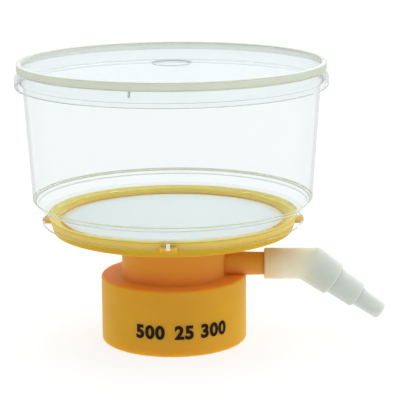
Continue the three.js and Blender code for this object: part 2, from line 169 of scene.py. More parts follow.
def fillet(outline, steps=6):
    """A closed outline of (x, y) or (x, y, radius) points, with the corners rounded."""
    out = []
    count = len(outline)
    for i, point in enumerate(outline):
        here = np.array(point[:2], float)
        if len(point) < 3:
            out.append(tuple(here.tolist()))
            continue
        before = np.array(outline[i - 1][:2], float) - here
        after = np.array(outline[(i + 1) % count][:2], float) - here
        before_len, after_len = np.linalg.norm(before), np.linalg.norm(after)
        before, after = before / before_len, after / after_len
        half = math.acos(max(-1.0, min(1.0, float(before @ after)))) / 2
        longest = 0.48 * min(before_len, after_len)  # a rounding takes less than half of a side
        back = min(point[2] / math.tan(half), longest)
        radius = back * math.tan(half)
        middle = (before + after) / np.linalg.norm(before + after)
        centre = here + middle * radius / math.sin(half)
        start = here + before * back - centre
        end = here + after * back - centre
        a0, a1 = math.atan2(start[1], start[0]), math.atan2(end[1], end[0])
        turn = (a1 - a0 + math.pi) % TAU - math.pi
        for k in range(steps + 1):
            a = a0 + turn * k / steps
            out.append((float(centre[0] + radius * math.cos(a)), float(centre[1] + radius * math.sin(a))))
    return out


def new_object(name, bm):
    """Object in metres from a bmesh in millimetres."""
    bmesh.ops.remove_doubles(bm, verts=bm.verts, dist=1e-4)
    bmesh.ops.recalc_face_normals(bm, faces=bm.faces)
    bmesh.ops.scale(bm, vec=(MM, MM, MM), verts=bm.verts)
    mesh = bpy.data.meshes.new(name)
    bm.to_mesh(mesh)
    bm.free()
    obj = bpy.data.objects.new(name, mesh)
    bpy.context.scene.collection.objects.link(obj)
    return obj


def to_axis(bm, degrees=0.0):
    """Turns a form about the funnel's axis and moves it there."""
    if degrees:
        bmesh.ops.rotate(bm, matrix=Matrix.Rotation(math.radians(degrees), 3, "Z"), verts=bm.verts)
    bmesh.ops.translate(bm, vec=(AXIS_X, 0, 0), verts=bm.verts)


def bridge(bm, a, b):
    """Side faces between two matching loops of points."""
    for k in range(len(a)):
        m = (k + 1) % len(a)
        bm.faces.new([a[k], a[m], b[m], b[k]])


def turned_mesh(outline, sides):
    """bmesh of an outline turned about Z. Points at radius 0 close on the axis."""
    bm = bmesh.new()
    rings = []
    for radius, height in outline:
        if radius < 1e-6:
            rings.append([bm.verts.new((0, 0, height))])
            continue
        rings.append([
            bm.verts.new((radius * math.cos(TAU * k / sides), radius * math.sin(TAU * k / sides), height))
            for k in range(sides)
        ])
    count = len(rings)
    on_axis = outline[0][0] < 1e-6
    for i in range(count - 1 if on_axis else count):
        a, b = rings[i], rings[(i + 1) % count]
        for k in range(sides):
            m = (k + 1) % sides
            corners = [a[k % len(a)], a[m % len(a)], b[m % len(b)], b[k % len(b)]]
            loop = []
            for v in corners:
                if v not in loop:
                    loop.append(v)
            if len(loop) > 2:
                bm.faces.new(loop)
    return bm


def turned(name, outline, sides=SIDES):
    """Turned piece on the funnel's axis."""
    bm = turned_mesh(outline, sides)
    to_axis(bm)
    return new_object(name, bm)


def laid(name, outline, start, direction):
    """Turned piece whose axis runs from a point along a direction (both about the funnel's axis)."""
    bm = turned_mesh(outline, TUBE_SIDES)
    turn = Vector((0, 0, 1)).rotation_difference(Vector(direction)).to_matrix()
    bmesh.ops.rotate(bm, matrix=turn, verts=bm.verts)
    bmesh.ops.translate(bm, vec=Vector(start) + Vector((AXIS_X, 0, 0)), verts=bm.verts)
    return new_object(name, bm)


def prism(name, near, far, degrees=0.0, bevel=0.0):
    """Solid between two matching loops of points, turned about the funnel's axis."""
    bm = bmesh.new()
    near = [bm.verts.new(point) for point in near]
    far = [bm.verts.new(point) for point in far]
    bm.faces.new(near)
    bm.faces.new(far[::-1])
    bridge(bm, far, near)
    if bevel:
        bmesh.ops.bevel(bm, geom=bm.edges[:], offset=bevel, segments=2, affect="EDGES", profile=0.5)
    to_axis(bm, degrees)
    return new_object(name, bm)


def bar(name, outline, width, degrees=0.0, bevel=0.0):
    """Bar with an outline in the X-Z plane and a width in Y, turned about the funnel's axis."""
    near = [(x, -width / 2, z) for x, z in outline]
    far = [(x, width / 2, z) for x, z in outline]
    return prism(name, near, far, degrees, bevel)


def rectangle(x0, z0, x1, z1):
    return [(x0, z0), (x1, z0), (x1, z1), (x0, z1)]


def boolean(target, cutters, operation="DIFFERENCE", solver="EXACT"):
    """Joins or cuts with each object of a list, and removes those objects."""
    for cutter in cutters:
        mod = target.modifiers.new("cut", "BOOLEAN")
        mod.operation = operation
        mod.solver = solver
        mod.object = cutter
    depsgraph = bpy.context.evaluated_depsgraph_get()
    result = bpy.data.meshes.new_from_object(target.evaluated_get(depsgraph))
    target.modifiers.clear()
    target.data = result
    for cutter in cutters:
        bpy.data.objects.remove(cutter)


def joined(target, others, solver="EXACT"):
    boolean(target, others, "UNION", solver)


def smooth(obj, degrees):
    """Smooth shading, with sharp edges where the surface turns by more than an angle."""
    mesh = obj.data
    mesh.shade_smooth()
    mesh.set_sharp_from_angle(angle=math.radians(degrees))
    mod = obj.modifiers.new("normals", "WEIGHTED_NORMAL")
    mod.keep_sharp = True
    mod.weight = 100


# ---- materials ----------------------------------------------------------------------------------

CLEAR_IOR = 1.001  # thin clear walls then show no black wedges
RAMP_TOP = 50.0  # height where the amber's colour ramp ends (mm)
TINT_LENGTH = 24.0  # how far the port tints the adapter, from its mouth (mm)


def set_inputs(node, values):
    for socket, value in values.items():
        node.inputs[socket].default_value = value


def node_material(name, values):
    """Material with values set on its shader's own sockets."""
    mat = bpy.data.materials.new(name)
    mat.use_nodes = True
    tree = mat.node_tree
    shader = tree.nodes["Principled BSDF"]
    set_inputs(shader, values)
    return mat, tree, shader


def colour_ramp(tree, value, stops, interpolation="LINEAR"):
    """Colour from a value, by (position, colour) stops."""
    ramp = tree.nodes.new("ShaderNodeValToRGB")
    ramp.color_ramp.interpolation = interpolation
    elements = ramp.color_ramp.elements
    while len(elements) < len(stops):
        elements.new(0.5)
    for element, (position, colour) in zip(elements, stops):
        element.position = position
        element.color = (*colour, 1)
    tree.links.new(value, ramp.inputs["Fac"])
    return ramp.outputs["Color"]


def map_range(tree, value, low, high, to_low=0.0, to_high=1.0, interpolation="LINEAR"):
    """Value moved from one range to another."""
    scaled = tree.nodes.new("ShaderNodeMapRange")
    scaled.interpolation_type = interpolation
    set_inputs(scaled, {"From Min": low, "From Max": high, "To Min": to_low, "To Max": to_high})
    tree.links.new(value, scaled.inputs["Value"])
    return scaled.outputs["Result"]


def soft_noise(tree, place, scale, detail=2.0):
    noise = tree.nodes.new("ShaderNodeTexNoise")
    set_inputs(noise, {"Scale": scale, "Detail": detail})
    tree.links.new(place, noise.inputs["Vector"])
    return noise.outputs["Fac"]


def coordinate(tree, place, axis):
    split = tree.nodes.new("ShaderNodeSeparateXYZ")
    tree.links.new(place, split.inputs["Vector"])
    return split.outputs[axis]


def noise_bump(tree, shader, scale, strength, distance):
    """Fine moulded unevenness of the surface. Returns the place on the object, for other noises."""
    place = tree.nodes.new("ShaderNodeTexCoord").outputs["Object"]
    bump = tree.nodes.new("ShaderNodeBump")
    set_inputs(bump, {"Strength": strength, "Distance": distance})
    tree.links.new(soft_noise(tree, place, scale, 3.0), bump.inputs["Height"])
    tree.links.new(bump.outputs["Normal"], shader.inputs["Normal"])
    return place


def varied(tree, shader, place, socket, scale, low, high):
    """Drives a socket from a soft noise between two values (numbers or colours)."""
    noise = soft_noise(tree, place, scale)
    if isinstance(low, tuple):
        result = colour_ramp(tree, noise, [(0.1, low), (0.9, high)])
    else:
        result = map_range(tree, noise, 0.3, 0.7, low, high)
    tree.links.new(result, shader.inputs[socket])
    return result


def clear_plastic(name, colour, gloss=0.22, haze=0.02, edge=1.0):
    """Clear polystyrene. gloss is the polish of its surface, haze the share of light it scatters, and
    edge the share it still passes where it is seen edge on, partly through far more plastic and partly as
    painted shade for the darker surroundings its walls would refract."""
    mat, tree, shader = node_material(name, {
        "Base Color": (*colour, 1),
        "Transmission Weight": 1 - haze,
        "IOR": CLEAR_IOR,
        "Roughness": 0.0,
        "Coat Weight": gloss,
        "Coat Roughness": 0.1,
    })
    if edge < 1:
        # painted shade: the wall's colour darkens where it is seen edge on
        facing = tree.nodes.new("ShaderNodeLayerWeight").outputs["Facing"]
        shares = [(0.45, 1.0), (0.74, 0.96), (0.80, edge), (1.0, edge)]
        stops = [(position, [c * share for c in colour]) for position, share in shares]
        tree.links.new(colour_ramp(tree, facing, stops), shader.inputs["Base Color"])
    return mat


def amber_plastic(name, bleed):
    """Translucent amber polystyrene. bleed is how far the light spreads in it (m)."""
    mat, tree, shader = node_material(name, {
        "IOR": 1.5,
        "Specular IOR Level": 0.03,
        "Subsurface Weight": 1.0,
        "Subsurface Radius": (1.0, 0.62, 0.15),
        "Subsurface Scale": bleed,
    })
    place = noise_bump(tree, shader, 900.0, 0.12, 0.0002)
    varied(tree, shader, place, "Roughness", 120.0, 0.32, 0.42)
    # painted shade: the colour deepens to orange at the collar's shoulder and the neck, partly for the
    # thicker plastic and partly for the shade under the shoulder and the support; painted light makes the
    # support's rim lighter yellow towards its top
    shades = [
        (COLLAR_H - 0.35, (0.68, 0.37, 0.036)),
        (COLLAR_H + 0.1, (0.93, 0.34, 0.080)),
        (COLLAR_H + 5.8, (0.84, 0.37, 0.060)),
        (PLATE_BOTTOM - 1.0, (0.82, 0.38, 0.060)),
        (PLATE_BOTTOM + 0.6, (0.63, 0.40, 0.032)),
        (SUPPORT - GROOVE_DEPTH, (0.66, 0.43, 0.040)),
        (SUPPORT + 0.7, (0.84, 0.59, 0.09)),
        (RIM_TOP - 0.2, (0.95, 0.71, 0.13)),
    ]
    height = map_range(tree, coordinate(tree, place, "Z"), 0.0, RAMP_TOP * MM)
    shade = colour_ramp(tree, height, [(z / RAMP_TOP, colour) for z, colour in shades], "EASE")
    cloud = map_range(tree, soft_noise(tree, place, 60.0), 0.0, 1.0, 0.94, 1.06)
    mottled = tree.nodes.new("ShaderNodeVectorMath")
    mottled.operation = "SCALE"
    tree.links.new(shade, mottled.inputs[0])
    tree.links.new(cloud, mottled.inputs["Scale"])
    tree.links.new(mottled.outputs["Vector"], shader.inputs["Base Color"])
    return mat


def milky_plastic(name, shade=1.0):
    """Milky polypropylene of the hose adapter. shade darkens its own colour as painted shade, not the port's
    tint.
    """
    mat, tree, shader = node_material(name, {
        "IOR": 1.49,
        "Specular IOR Level": 0.25,
        "Subsurface Weight": 1.0,
        "Subsurface Radius": (1.0, 1.0, 0.9),
        "Subsurface Scale": 0.003,
    })
    place = noise_bump(tree, shader, 700.0, 0.15, 0.0002)
    varied(tree, shader, place, "Roughness", 150.0, 0.45, 0.6)
    # the amber port shows through the socket's thin wall
    mouth = (MOUTH + AXIS_X) * MM
    reach = map_range(
        tree,
        coordinate(tree, place, "X"),
        mouth,
        mouth + TINT_LENGTH * MM,
        interpolation="SMOOTHSTEP",
    )
    tint = colour_ramp(tree, reach, [
        (0.0, (1.0, 0.67, 0.40)),
        (0.25, (1.0, 0.82, 0.62)),
        (0.65, (0.78, 0.78, 0.62)),
        (1.0, (0.62 * shade, 0.67 * shade, 0.62 * shade)),
    ])
    tree.links.new(tint, shader.inputs["Base Color"])
    return mat


def tinted_zone_plastic(name, low, high, clear, ior=1.1):
    """A part of a clear piece's surface with its own colour and a satin gloss: it scatters some of the light
    and passes the rest. Most of these are painted light and shade, the lines, bands and reflections that the
    clear plastic shows at its edges and over the amber parts.
    low and high are the ends of its mottled colour, and clear is the share that passes."""
    mat, tree, shader = node_material(name, {
        "Transmission Weight": clear,
        "IOR": ior,
        "Roughness": 0.32,
    })
    place = noise_bump(tree, shader, 1500.0, 0.1, 0.0001)
    varied(tree, shader, place, "Base Color", 90.0, low, high)
    return mat


def membrane_film():
    mat, tree, shader = node_material("membrane_film", {"IOR": 1.4})
    place = noise_bump(tree, shader, 6000.0, 0.25, 0.00005)
    white = varied(tree, shader, place, "Base Color", 400.0, (0.79, 0.825, 0.815), (0.82, 0.845, 0.835))
    varied(tree, shader, place, "Roughness", 900.0, 0.85, 0.95)
    # amber light from the plate warms the film's edge
    offset = tree.nodes.new("ShaderNodeVectorMath")
    offset.operation = "SUBTRACT"
    offset.inputs[1].default_value = (AXIS_X * MM, 0, MEMBRANE_TOP * MM)
    radius = tree.nodes.new("ShaderNodeVectorMath")
    radius.operation = "LENGTH"
    tree.links.new(place, offset.inputs[0])
    tree.links.new(offset.outputs["Vector"], radius.inputs[0])
    share = map_range(tree, radius.outputs["Value"], (OPEN_R - 4.5) * MM, (OPEN_R + 0.3) * MM)
    ring = colour_ramp(tree, share, [(0.0, (1.0, 1.0, 1.0)), (1.0, (1.0, 0.87, 0.62))], "EASE")
    tint = tree.nodes.new("ShaderNodeMix")
    tint.data_type = "RGBA"
    tint.blend_type = "MULTIPLY"
    tint.inputs[0].default_value = 1.0
    tree.links.new(white, tint.inputs[6])
    tree.links.new(ring, tint.inputs[7])
    tree.links.new(tint.outputs[2], shader.inputs["Base Color"])
    return mat


def silicone():
    mat, tree, shader = node_material("silicone", {
        "Subsurface Weight": 0.5,
        "Subsurface Radius": (1.0, 1.0, 0.95),
        "Subsurface Scale": 0.002,
    })
    place = noise_bump(tree, shader, 1200.0, 0.2, 0.0001)
    varied(tree, shader, place, "Base Color", 200.0, (0.78, 0.78, 0.75), (0.83, 0.83, 0.80))
    varied(tree, shader, place, "Roughness", 300.0, 0.55, 0.7)
    return mat


def ink():
    mat, tree, shader = node_material("ink", {"Specular IOR Level": 0.1})
    place = noise_bump(tree, shader, 3000.0, 0.2, 0.00003)
    varied(tree, shader, place, "Base Color", 900.0, (0.016, 0.005, 0.002), (0.026, 0.009, 0.004))
    varied(tree, shader, place, "Roughness", 1200.0, 0.5, 0.7)
    return mat


FUNNEL_TINT = (0.918, 0.945, 0.945)
LID_TINT = (0.94, 0.955, 0.96)

CLEAR_FUNNEL = clear_plastic("clear_funnel", FUNNEL_TINT)
# outer walls with painted shade where they are seen edge on
FUNNEL_OUTSIDE = clear_plastic("clear_funnel_outside", FUNNEL_TINT, edge=0.76)
CLEAR_FOOT = clear_plastic("clear_foot", (0.95, 0.965, 0.965), gloss=0.0)
HAZY_FOOT = clear_plastic("hazy_foot", (0.95, 0.94, 0.90), gloss=0.0, haze=0.04)
CLEAR_LID = clear_plastic("clear_lid", LID_TINT)
# outer walls with painted shade where they are seen edge on
LID_OUTSIDE = clear_plastic("clear_lid_outside", LID_TINT, edge=0.74)
HAZY_LID = clear_plastic("hazy_lid", (0.77, 0.83, 0.845), haze=0.3)
AMBER = amber_plastic("amber_plastic", 0.006)
AMBER_PLATE = amber_plastic("amber_plate", 0.0015)
MILKY = milky_plastic("milky_plastic")
# painted shade: a darker copy of the milky plastic for the steps' shoulders
SHOULDER_PAINTED_SHADE = milky_plastic("milky_shoulder_painted_shade", shade=0.72)
FILM = membrane_film()
SEAL = silicone()
INK = ink()
# painted shade: the lid's rim band is grey-green, partly the plastic's own tint through its thickness and
# partly the shade the thick clear rim refracts
RIM = tinted_zone_plastic("rim_band_painted_shade", (0.59, 0.63, 0.49), (0.64, 0.68, 0.54), 0.35)
# painted highlight along the top of the lid's rim
RIM_SHEEN = tinted_zone_plastic("rim_top_painted_highlight", (0.80, 0.84, 0.81), (0.85, 0.88, 0.86), 0.45)
# painted shade: the olive line round the funnel's ledge, for what its clear edge refracts
EDGE = tinted_zone_plastic("ledge_painted_shade_line", (0.64, 0.67, 0.46), (0.70, 0.73, 0.53), 0.4)
# painted shade: grey lines at the clear pieces' corners, feet and bead
LINE = tinted_zone_plastic("grey_painted_shade_line", (0.62, 0.67, 0.66), (0.68, 0.73, 0.72), 0.6)
# painted shade: the dark lines of the lid's recess wall and its flare fin
DARK = tinted_zone_plastic("dark_painted_shade_line", (0.42, 0.46, 0.46), (0.48, 0.52, 0.52), 0.4)
# the gate stub is whitish
GATE = tinted_zone_plastic("whitish_gate", (0.94, 0.95, 0.91), (0.97, 0.98, 0.95), 0.2)
GOLD = tinted_zone_plastic("gold_reflection", (0.96, 0.77, 0.16), (0.98, 0.80, 0.20), 0.25)
# painted shade with the amber reflected in it: the clear foot's inner edge shows as an orange line
LIP = tinted_zone_plastic("orange_lip_painted_reflection", (0.97, 0.58, 0.10), (1.0, 0.63, 0.14), 0.2)
WELD = tinted_zone_plastic("welded_edge", (0.98, 0.76, 0.10), (1.0, 0.80, 0.14), 0.2, 1.05)


def finish_piece(obj, body, slot, material, *nodes, angle=28, zones=()):
    """Gives a piece its material, rounding and body. A zone is (material, test of a face's
    radius and height in mm) for a part of the surface with another finish."""
    obj.data.materials.clear()
    obj.data.materials.append(material)
    for index, (zone_material, inside) in enumerate(zones, 1):
        obj.data.materials.append(zone_material)
        for face in obj.data.polygons:
            x, y, z = (c / MM for c in face.center)
            if inside(math.hypot(x - AXIS_X, y), z):
                face.material_index = index
    smooth(obj, angle)
    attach(obj, body)
    if nodes:
        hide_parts(*nodes)


# ---- base: collar, neck and port ----------------------------------------------------------------


def base_outline():
    inner = NECK_R - NECK_WALL
    top = UNDERSIDE - STACK
    return fillet([
        (inner, top, 0.1),
        (inner, SHOULDER_UNDER, 0.4),
        (BORE_R, SHOULDER_UNDER, 0.5),
        (BORE_R, BORE_LEAD, 0.3),
        (BORE_R + BORE_LEAD, 0, 0.3),
        (COLLAR_R, 0, 0.9),
        (COLLAR_R, COLLAR_H, 0.9),
        (NECK_R, COLLAR_H, 0.9),
        (NECK_R, top, 0.1),
    ])


def thread_section(height, reach):
    """Rounded section of the thread, from the bore's wall inwards."""
    half = [
        (BORE_R + 0.4, 1.25),
        (BORE_R, 1.2),
        (BORE_R - 0.55 * reach, 0.75),
        (BORE_R - 0.93 * reach, 0.42),
    ]
    below = [(radius, height - rise) for radius, rise in half]
    above = [(radius, height + rise) for radius, rise in reversed(half)]
    return [*below, (BORE_R - reach, height), *above]


def thread_ridge(pitch=4.0, turns=2.3, start=4.0, depth=1.1):
    """Right-hand bottle thread inside the collar: a tapering ridge along a helix, which rises
    anticlockwise as seen from above."""
    bm = bmesh.new()
    steps = int(turns * 120)
    sections = []
    for i in range(steps + 1):
        share = i / steps
        fade = min(1.0, share * turns * 6, (1 - share) * turns * 6)
        fade = fade * fade * (3 - 2 * fade)
        angle = TAU * turns * share
        points = thread_section(start + pitch * turns * share, depth * fade)
        sections.append([bm.verts.new((r * math.cos(angle), r * math.sin(angle), z)) for r, z in points])
    for a, b in zip(sections, sections[1:]):
        bridge(bm, a, b)
    bm.faces.new(sections[0][::-1])
    bm.faces.new(sections[-1])
    to_axis(bm)
    return new_object("thread", bm)


def make_base():
    base = turned("base_moulding", base_outline())
    along = (1, 0, 0)
    length = PORT_TIP - PORT_ROOT
    port_outline = fillet([(0, 0), (PORT_ROOT_R, 0), (PORT_TIP_R, length, 0.5), (0, length)])
    port = laid("port", port_outline, (PORT_ROOT, 0, PORT_Z), along)
    bore_start = (NECK_R - 2 * NECK_WALL, 0, PORT_Z)
    bore = laid("bore", [(0, 0), (PORT_BORE, 0), (PORT_BORE, PORT_TIP), (0, PORT_TIP)], bore_start, along)
    joined(base, [port, thread_ridge()], "MANIFOLD")
    boolean(base, [bore], solver="MANIFOLD")
    finish_piece(base, "base", "base", AMBER, "base")


# ---- membrane support ---------------------------------------------------------------------------


def support_outline():
    spout = DRAIN_R + DRAIN_WALL
    ring = NECK_R - NECK_WALL - FIT
    ring_in, ring_foot = ring - SPIGOT_WALL, UNDERSIDE - SPIGOT_DEPTH
    skirt_in = RIM_FOOT - RIM_WALL
    return fillet([
        (DRAIN_R, SPOUT_TIP, 0.2),
        (spout, SPOUT_TIP, 0.2),
        (spout, UNDERSIDE, 0.8),
        (ring_in, UNDERSIDE, 0.2),
        (ring_in, ring_foot, 0.2),
        (ring, ring_foot, 0.2),
        (ring, UNDERSIDE),
        (skirt_in, UNDERSIDE, 0.3),
        (skirt_in, PLATE_BOTTOM, 0.3),
        (RIM_FOOT, PLATE_BOTTOM, 0.4),
        (RIM_OUT, RIM_TOP - 0.5 * RIM_H, 0.4),
        (RIM_OUT, RIM_TOP, 0.25),
        (RIM_IN, RIM_TOP, 0.25),
        (RIM_IN, SUPPORT, 0.15),
        (DRAIN_R + DRAIN_MOUTH, SUPPORT, 0.2),
        (DRAIN_R, SUPPORT - DRAIN_MOUTH, 0.2),
    ], 4)


def support_tab(degrees):
    low = SKIRT_FOOT[1] - TAB_DROP
    return bar("tab", rectangle(RIM_IN + TAB_ROOT, low, TAB_REACH, low + TAB_H), TAB_W, degrees, 0.25)


def support_rib(degrees):
    end = RIM_FOOT - RIM_WALL + SINK
    return bar("rib", rectangle(NECK_R + RIB_GAP, PLATE_BOTTOM, end, UNDERSIDE + SINK), RIB_W, degrees, 0.2)


def support_groove(middle):
    low, high = SUPPORT - GROOVE_DEPTH, SUPPORT + CUT
    return turned("groove", rectangle(middle - GROOVE_W / 2, low, middle + GROOVE_W / 2, high), GROOVE_SIDES)


def support_channel(degrees, end):
    outline = [
        (DRAIN_R, SUPPORT - CHANNEL_INNER),
        (end, SUPPORT - CHANNEL_OUTER),
        (end, SUPPORT + CUT),
        (DRAIN_R, SUPPORT + CUT),
    ]
    return bar("channel", outline, CHANNEL_W, degrees)


def spout_slant():
    low = SPOUT_TIP - CUT
    reach = DRAIN_R + DRAIN_WALL + CUT
    outline = [(-reach, low), (reach, low), (reach, SPOUT_TIP), (-reach, SPOUT_TIP + DRAIN_SLANT)]
    return bar("slant", outline, 2 * reach)


def make_support():
    plate = turned("membrane_support", support_outline())
    tabs = [support_tab(360 / TABS * k) for k in range(TABS)]
    ribs = [support_rib(360 / RIBS * k) for k in range(RIBS)]
    joined(plate, tabs + ribs, "MANIFOLD")
    outer = OPEN_R - OUTER_LAND
    grooves = [support_groove(outer - GROOVE_W / 2 - GROOVE_PITCH * i) for i in range(GROOVES)]
    channels = [support_channel(360 / CHANNELS * k, outer) for k in range(CHANNELS)]
    boolean(plate, [*grooves, *channels, spout_slant()], solver="MANIFOLD")
    finish_piece(plate, "base", "base", AMBER_PLATE, "support")


# ---- membrane and gasket ------------------------------------------------------------------------


def make_membrane():
    bottom = SUPPORT + STACK
    outline = fillet([
        (0, bottom),
        (MEMBRANE_R, bottom, 0.08),
        (MEMBRANE_R, MEMBRANE_TOP, 0.08),
        (0, MEMBRANE_TOP),
    ], 3)
    finish_piece(turned("membrane_disc", outline), "base", "membrane", FILM, "membrane")


def make_gasket():
    top = SHOULDER_UNDER - STACK
    bottom = top - GASKET_T
    outer = BORE_R - FIT
    outline = fillet([
        (GASKET_R, bottom, 0.3),
        (outer, bottom, 0.3),
        (outer, top, 0.3),
        (GASKET_R, top, 0.3),
    ], 4)
    finish_piece(turned("neck_gasket", outline), "base", "gasket", SEAL, "bottle_gasket")


# ---- funnel -------------------------------------------------------------------------------------


def skirt_outer(height):
    return radius_at(height, SKIRT_FOOT, SKIRT_HEAD)


def wall_outer(height):
    return radius_at(height, WALL_FOOT, WALL_HEAD)


def funnel_outline():
    bead_low = WALL_HEAD[1]
    bead_top = bead_low + BEAD_H
    core_top = ROOF + CORE_H
    core_r = skirt_outer(core_top + 0.2) - CORE_WALL
    edge_low = LEDGE_Z - EDGE_DROP
    return fillet([
        (OPEN_R, FOOT, 0.05),
        (OPEN_R + FOOT_LIP, FOOT),
        (MEMBRANE_R, ROOF),
        (RIM_OUT, ROOF),
        (RIM_OUT + RING_FLARE, ROOF + RING_RISE),
        (core_r - 0.3, core_top, 0.3),
        (core_r, core_top, 0.3),
        (SKIRT_FOOT[0] - CORE_WALL, SKIRT_FOOT[1], 0.3),
        (*SKIRT_FOOT, 0.35),
        (skirt_outer(edge_low), edge_low),
        (SKIRT_HEAD[0], LEDGE_Z, LEDGE_ROUND),
        (*WALL_FOOT, LEDGE_ROUND),
        (*WALL_HEAD, 0.4),
        (BEAD_R, bead_low + 0.3, 0.3),
        (BEAD_R, bead_top, 0.3),
        (wall_outer(bead_top), bead_top + 0.6, 0.4),
        (wall_outer(FUNNEL_TOP), FUNNEL_TOP, 0.45),
        (wall_outer(FUNNEL_TOP) - WALL, FUNNEL_TOP, 0.45),
        (wall_outer(LEDGE_Z) - WALL, LEDGE_Z, 6.0),
        (wall_outer(CONE_TOP) - WALL, CONE_TOP, 0.6),
        (OPEN_R, FOOT + BLUNT, 0.15),
    ])


def notch_cutter(degrees):
    """Cuts the skirt over a tab. The notch widens downwards."""
    half = TAB_W / 2 + NOTCH_GAP
    low, top = SKIRT_FOOT[1] - CUT, SKIRT_FOOT[1] + NOTCH_H
    wide = half + NOTCH_FLARE * (top - low) / NOTCH_H
    shape = [(-wide, low), (wide, low), (half, top), (-half, top)]
    near = [(RIM_OUT - CUT, y, z) for y, z in shape]
    far = [(WALL_FOOT[0] + CUT, y, z) for y, z in shape]
    return prism("notch", near, far, degrees)


def gate_stub():
    """Stub of the moulding gate on the skirt's foot, outside the front tab."""
    bottom = SKIRT_FOOT[1]
    top = bottom + GATE_H
    inner = TAB_REACH + FIT
    outline = [
        (inner, bottom),
        (SKIRT_FOOT[0] + GATE_PROUD, bottom),
        (skirt_outer(top) + GATE_PROUD, top),
        (inner, top),
    ]
    return bar("gate", outline, GATE_W, FRONT, 0.12)


def funnel_zones():
    """The funnel's zones of colour, most of them painted light and shade. Where zones overlap, the last one
    counts.
    """

    def on_outside(radius, height):
        return height > LEDGE_Z + 0.3 and radius > wall_outer(height) - 0.3

    def in_foot(radius, height):
        return height < LEDGE_Z and radius < skirt_outer(height) - 0.5

    def on_skirt_inside(radius, height):
        return abs(skirt_outer(height) - radius - CORE_WALL) < 0.2 and height < ROOF + CORE_H - 0.2

    def on_weld(radius, height):
        return OPEN_R + 0.4 < radius < RIM_OUT and height < ROOF + 0.01

    def on_gold(radius, height):
        return RIM_OUT < radius < RIM_OUT + RING_FLARE and ROOF < height < ROOF + RING_RISE

    def on_lip(radius, height):
        return radius < OPEN_R + 0.3 and height < FOOT + BLUNT + 0.05

    def on_edge(radius, height):
        low, high = LEDGE_Z - EDGE_DROP, LEDGE_Z + LEDGE_ROUND + 0.01
        return radius > SKIRT_HEAD[0] - 0.25 and low < height < high

    def on_line(radius, height):
        corner = abs(height - CONE_TOP) < 0.3 and OPEN_R + 5 < radius < WALL_FOOT[0] - 1.2
        foot = height < SKIRT_FOOT[1] + 0.02 and radius > SKIRT_FOOT[0] - 1.5
        bead = radius > WALL_HEAD[0] + 0.3 and abs(height - WALL_HEAD[1]) < 0.45
        return corner or foot or bead

    def on_gate(radius, height):
        return radius > skirt_outer(height) + 0.2 and height < SKIRT_FOOT[1] + GATE_H + 0.1

    return [
        (FUNNEL_OUTSIDE, on_outside),
        (CLEAR_FOOT, in_foot),
        (HAZY_FOOT, on_skirt_inside),
        (WELD, on_weld),
        (GOLD, on_gold),
        (LIP, on_lip),
        (EDGE, on_edge),
        (LINE, on_line),
        (GATE, on_gate),
    ]


def make_funnel():
    funnel = turned("funnel_moulding", funnel_outline())
    boolean(funnel, [notch_cutter(360 / TABS * k) for k in range(TABS)])
    joined(funnel, [gate_stub()])
    finish_piece(funnel, "base", "funnel", CLEAR_FUNNEL, "funnel", zones=funnel_zones())


# ---- lid ----------------------------------------------------------------------------------------


def lid_outline():
    rim_in = BAND_R - LID_RIM_W
    recess = PLATE_TOP - RECESS_DEPTH
    return fillet([
        (0, LID_UNDER),
        (HOLLOW_R, LID_UNDER, 0.5),
        (HOLLOW_R, PINCH_Z, 0.5),
        (LID_IN, FLARE_Z, 0.8),
        (LID_IN, LID_BOTTOM, 0.25),
        (LID_R, LID_BOTTOM, 0.35),
        (LID_R, FLARE_Z, 0.9),
        (BAND_R - PINCH, PINCH_Z, 0.3),
        (BAND_R, LID_TOP - BAND_H, 0.3),
        (BAND_R, LID_TOP, 0.5),
        (rim_in, LID_TOP, 0.4),
        (rim_in, PLATE_TOP, 0.3),
        (RECESS_R, PLATE_TOP, 0.1),
        (RECESS_R - 0.3, recess, 0.15),
        (0, recess),
    ])


def vent_rib(degrees):
    low = LID_BOTTOM + VENT_LIFT
    outline = rectangle(LID_IN - VENT_PROUD, low, LID_R - LID_WALL / 2, low + VENT_H)
    return bar("vent", outline, VENT_W, degrees)


def flare_fin():
    """Thin fin under the flare, in line with the first vent rib."""
    outline = [
        (LID_IN - FIN_PROUD, FLARE_Z),
        (LID_IN + SINK, FLARE_Z),
        (HOLLOW_R + SINK, PINCH_Z),
        (HOLLOW_R + 0.02, PINCH_Z),
        (HOLLOW_R + 0.02, PINCH_Z - FIN_PROUD),
    ]
    return bar("fin", outline, FIN_W, VENT_ANGLE)


def lid_zones():
    """The lid's zones of colour, most of them painted light and shade. Where zones overlap, the last one
    counts.
    """

    def on_outside(radius, height):
        return radius > BAND_R - 0.6 and height < PINCH_Z

    def on_rim(radius, height):
        return radius > BAND_R - 0.62 and height > PINCH_Z - 0.15

    def on_plate(radius, height):
        return radius < BAND_R - LID_RIM_W - 0.1 and height > LID_UNDER + 0.8

    def on_sheen(radius, height):
        return BAND_R - LID_RIM_W - 0.5 < radius < BAND_R - 0.3 and height > LID_TOP - 0.75

    def on_line(radius, height):
        return height < LID_BOTTOM + 0.2 and radius > LID_IN - 0.1

    def on_dark(radius, height):
        recess = RECESS_R - 0.35 < radius < RECESS_R + 0.02 and height > LID_UNDER + 0.8
        slope = radius_at(height, (LID_IN, FLARE_Z), (HOLLOW_R, PINCH_Z))
        fin = HOLLOW_R < radius < slope - 0.04 and FLARE_Z - 0.05 < height < PINCH_Z
        return recess or fin

    return [
        (LID_OUTSIDE, on_outside),
        (RIM, on_rim),
        (HAZY_LID, on_plate),
        (RIM_SHEEN, on_sheen),
        (LINE, on_line),
        (DARK, on_dark),
    ]


